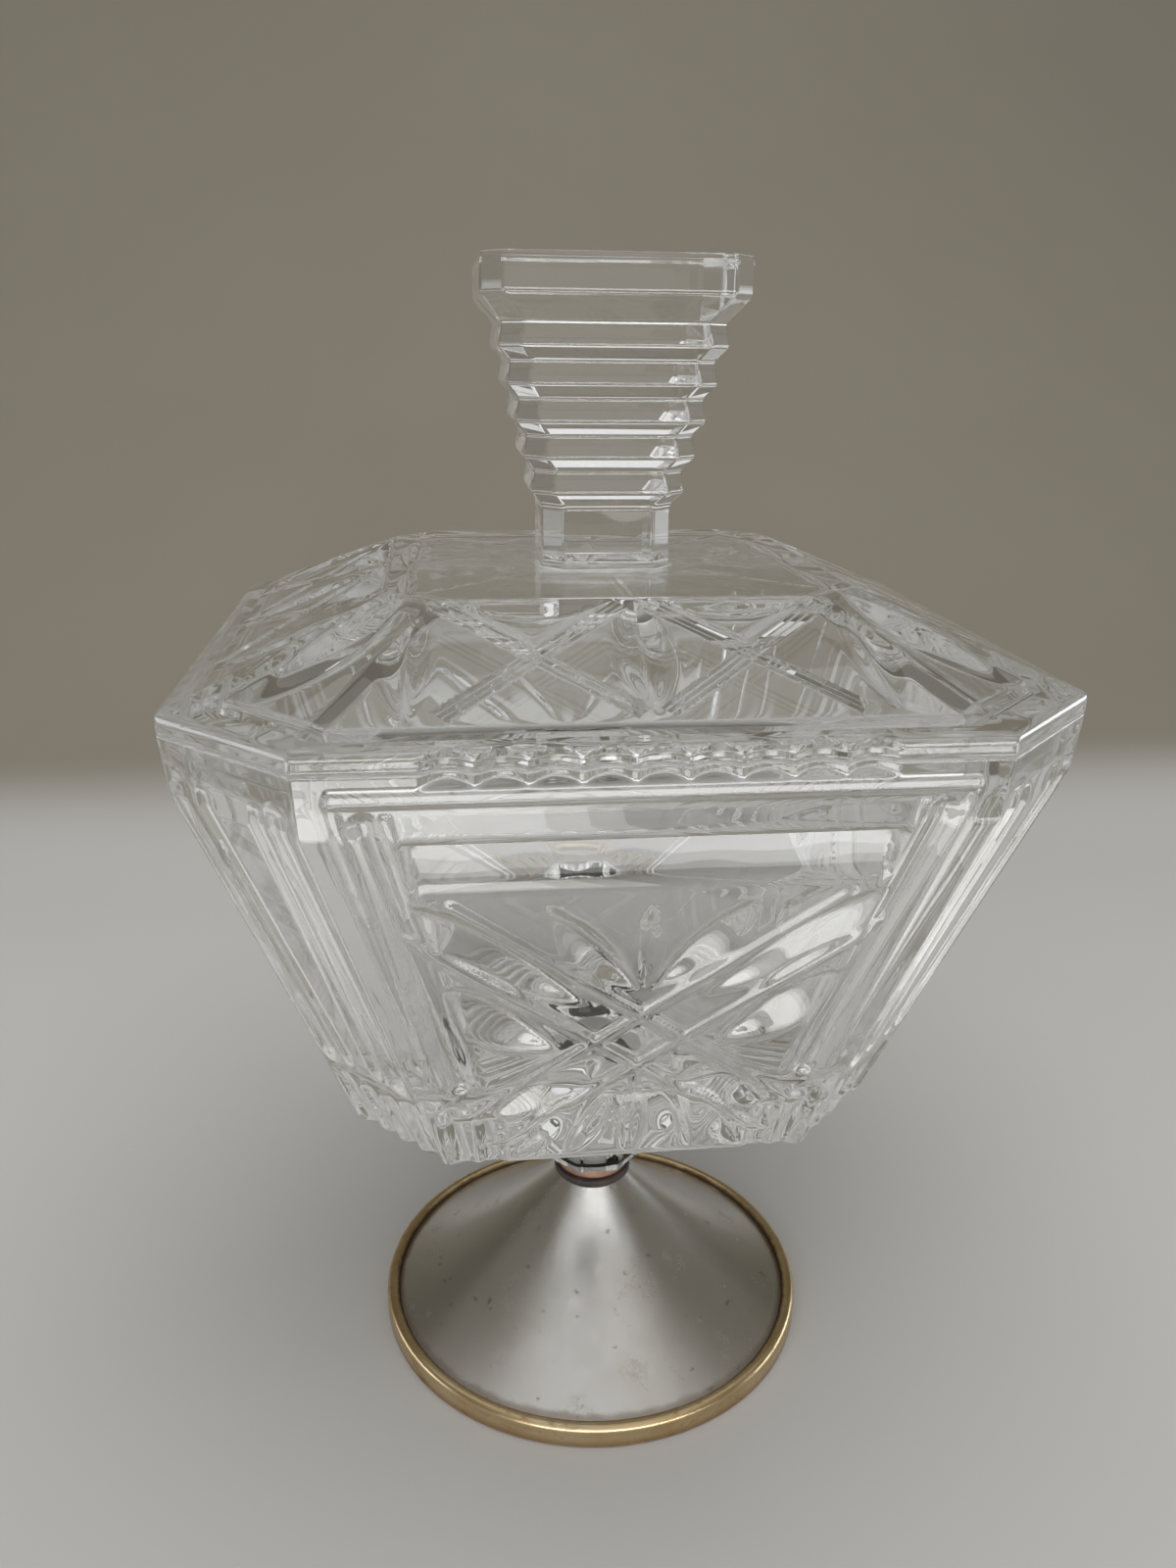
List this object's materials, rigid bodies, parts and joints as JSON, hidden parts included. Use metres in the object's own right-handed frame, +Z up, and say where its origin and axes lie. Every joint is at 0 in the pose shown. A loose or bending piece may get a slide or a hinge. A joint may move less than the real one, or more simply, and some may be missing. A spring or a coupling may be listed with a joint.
{
  "type": "lidded candy dish",
  "caption": "Square cut-glass candy dish with canted corners, a lift-off lid with a stepped finial, and a silver-plated cone foot with a brass rim.",
  "frame": {"origin": "centre of the foot's circle, on the ground plane", "axes": "+Z up along the dish's axis; one cut face looks along -Y, and +X is to the right of someone who faces it"},
  "size_m": [0.125, 0.125, 0.1893],
  "materials": {
    "clear_glass": "clear pressed glass with polished cuts",
    "silver_plate": "worn silver plate on a spun sheet",
    "brass_rim": "worn polished brass",
    "copper_collar": "polished, copper-toned",
    "dark_gasket": "matte",
    "clamp_steel": "plain zinc-plated",
    "cement": "matte set cement"
  },
  "bodies": {
    "base": {"foot_rim": "brass_rim", "foot_cone": "silver_plate", "neck_gasket": "dark_gasket", "collar": "copper_collar", "top_gasket": "dark_gasket", "clamp_stud": "clamp_steel", "socket_cement": "cement", "clamp_washer": "clamp_steel", "clamp_nut": "clamp_steel", "bowl": "clear_glass"},
    "lid": {"lid": "clear_glass"}
  },
  "joints": [
    {"name": "lid_lift", "type": "slide", "parent": "base", "child": "lid", "axis": [0, 0, 1], "range_m": [0, 0.08]}
  ]
}
